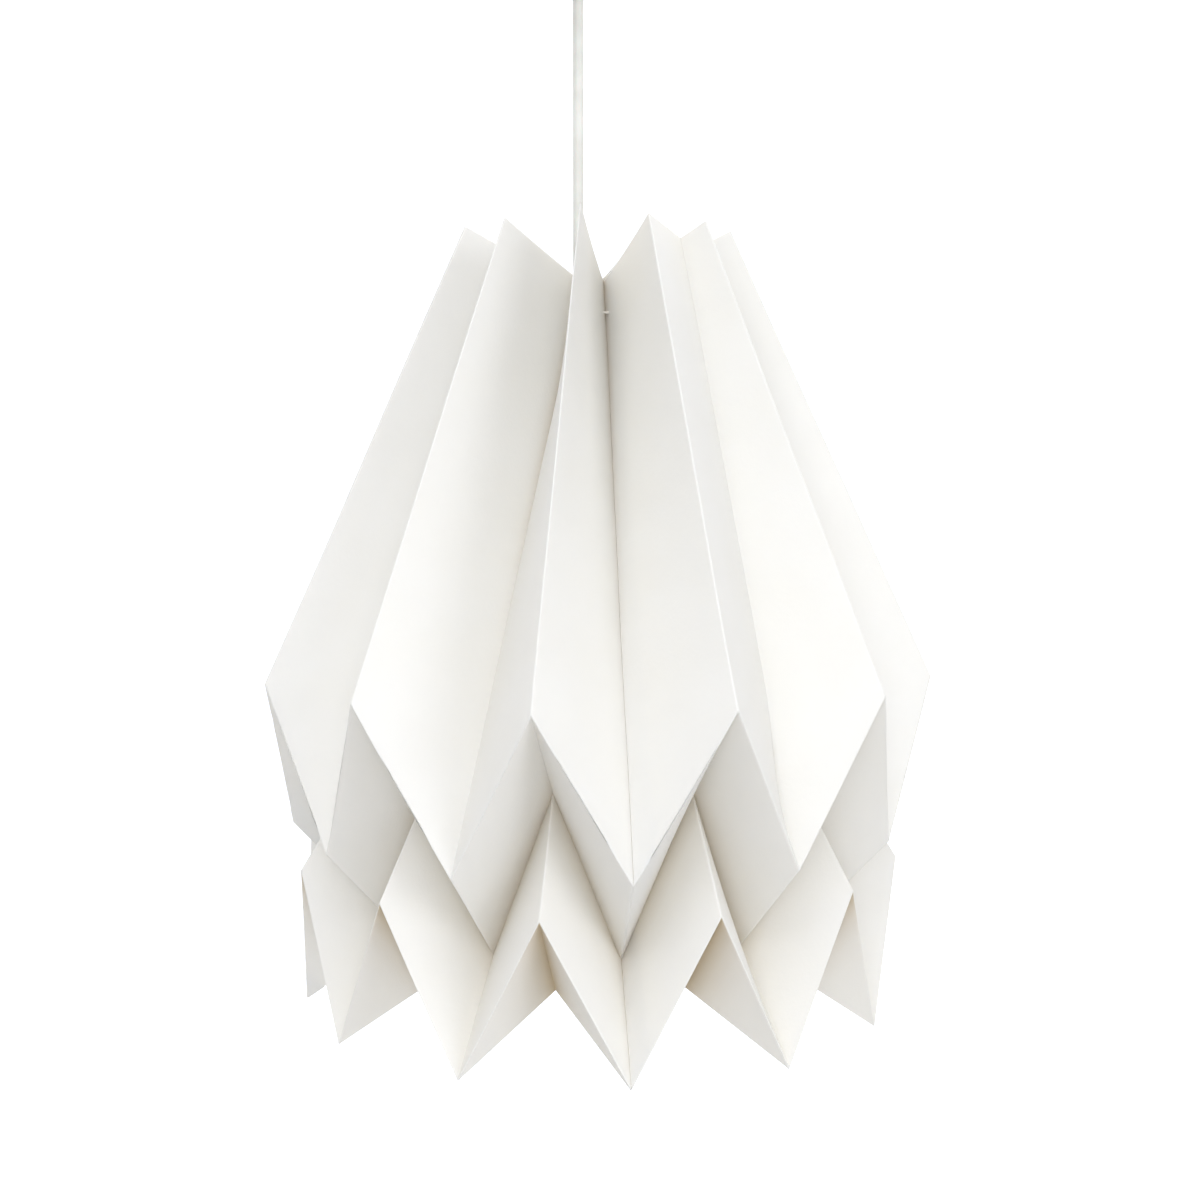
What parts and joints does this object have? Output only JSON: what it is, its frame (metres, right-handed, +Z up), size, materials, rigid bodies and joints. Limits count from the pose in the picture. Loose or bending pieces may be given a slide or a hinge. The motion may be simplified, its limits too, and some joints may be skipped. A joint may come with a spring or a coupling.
{
  "type": "pleated paper pendant lampshade",
  "caption": "White pleated paper pendant lampshade in two folded tiers, hanging on a round cord, with its lampholder, bulb and ceiling rose.",
  "frame": {"origin": "on the ceiling, at the middle of the ceiling bracket's top face", "axes": "+Z up towards the ceiling; the cord hangs along -Z; -Y towards the viewer"},
  "size_m": [0.3144, 0.3144, 0.5197],
  "materials": {
    "paper": "matte uncoated white card, faint fibre grain, crisp scored folds",
    "string": "twisted off-white cotton string",
    "cord_sheath": "satin off-white PVC sheath, slightly grey",
    "white_plastic": "satin moulded white plastic",
    "steel": "zinc-plated steel",
    "brass": "plain brass, slightly dulled",
    "ceramic": "unglazed white steatite",
    "aluminium": "plated screw cap, satin",
    "opal": "opal diffuser, satin",
    "black_plastic": "black glass-like insulator"
  },
  "bodies": {
    "ceiling": {"ceiling_bracket": "steel", "bracket_screw_left": "steel", "bracket_screw_right": "steel", "cord_clamp": "white_plastic", "terminal_block": "white_plastic", "cord_tail": "cord_sheath"},
    "cup": {"rose_cup": "white_plastic", "rose_cord_grip": "white_plastic", "rose_lock_nut": "steel"},
    "cup_screw": {"rose_grip_screw": "white_plastic"},
    "bend": {"cord_bend": "cord_sheath"},
    "pendant": {"cord": "cord_sheath", "holder_cord_grip": "white_plastic", "holder_lock_nut": "steel", "holder_cap": "white_plastic", "holder_body": "white_plastic", "holder_insert": "ceramic", "terminal_screw_live": "brass", "terminal_screw_neutral": "brass", "contact_shell": "brass", "contact_tongue": "brass"},
    "pendant_screw": {"holder_grip_screw": "white_plastic"},
    "carrier": {"carrier_disc": "white_plastic"},
    "shade": {"paper_sheet_front_left": "paper", "paper_sheet_front_right": "paper", "paper_sheet_back_right": "paper", "paper_sheet_back_left": "paper", "gather_string": "string"},
    "bulb_foot": {"bulb_tip": "brass"},
    "bulb": {"bulb_insulator": "black_plastic", "bulb_screw_cap": "aluminium", "bulb_housing": "white_plastic", "bulb_globe": "opal"}
  },
  "joints": [
    {"name": "cup_slide", "type": "slide", "parent": "ceiling", "child": "cup", "axis": [0, 0, -1], "range_m": [0, 0.05]},
    {"name": "rose_screw_turn", "type": "hinge", "parent": "cup", "child": "cup_screw", "pos_m": [0, 0.006, -0.033], "axis": [0, 1, 0], "range_deg": [0, 1080]},
    {"name": "swing_side", "type": "hinge", "parent": "ceiling", "child": "bend", "pos_m": [0, 0, -0.0413], "axis": [0, 1, 0], "range_deg": [-25, 25], "deforming": ["cord"]},
    {"name": "swing_front", "type": "hinge", "parent": "bend", "child": "pendant", "pos_m": [0, 0, -0.0413], "axis": [1, 0, 0], "range_deg": [-25, 25]},
    {"name": "holder_screw_turn", "type": "hinge", "parent": "pendant", "child": "pendant_screw", "pos_m": [0, 0.005, -0.2191], "axis": [0, 1, 0], "range_deg": [0, 1080]},
    {"name": "shade_lift", "type": "slide", "parent": "pendant", "child": "carrier", "axis": [0, 0, 1], "range_m": [0, 0.08]},
    {"name": "shade_turn", "type": "hinge", "parent": "carrier", "child": "shade", "pos_m": [0.008, 0, -0.224], "axis": [0, 0, 1], "continuous": true},
    {"name": "bulb_withdraw", "type": "slide", "parent": "pendant", "child": "bulb_foot", "axis": [0, 0, -1], "range_m": [0, 0.0218]},
    {"name": "bulb_turn", "type": "hinge", "parent": "bulb_foot", "child": "bulb", "pos_m": [0, 0, -0.3], "axis": [0, 0, -1], "range_deg": [0, 2160]}
  ],
  "couplings": [
    {"joint": "bulb_withdraw", "follows": "bulb_turn", "m_per_rad": 0.00057615}
  ]
}
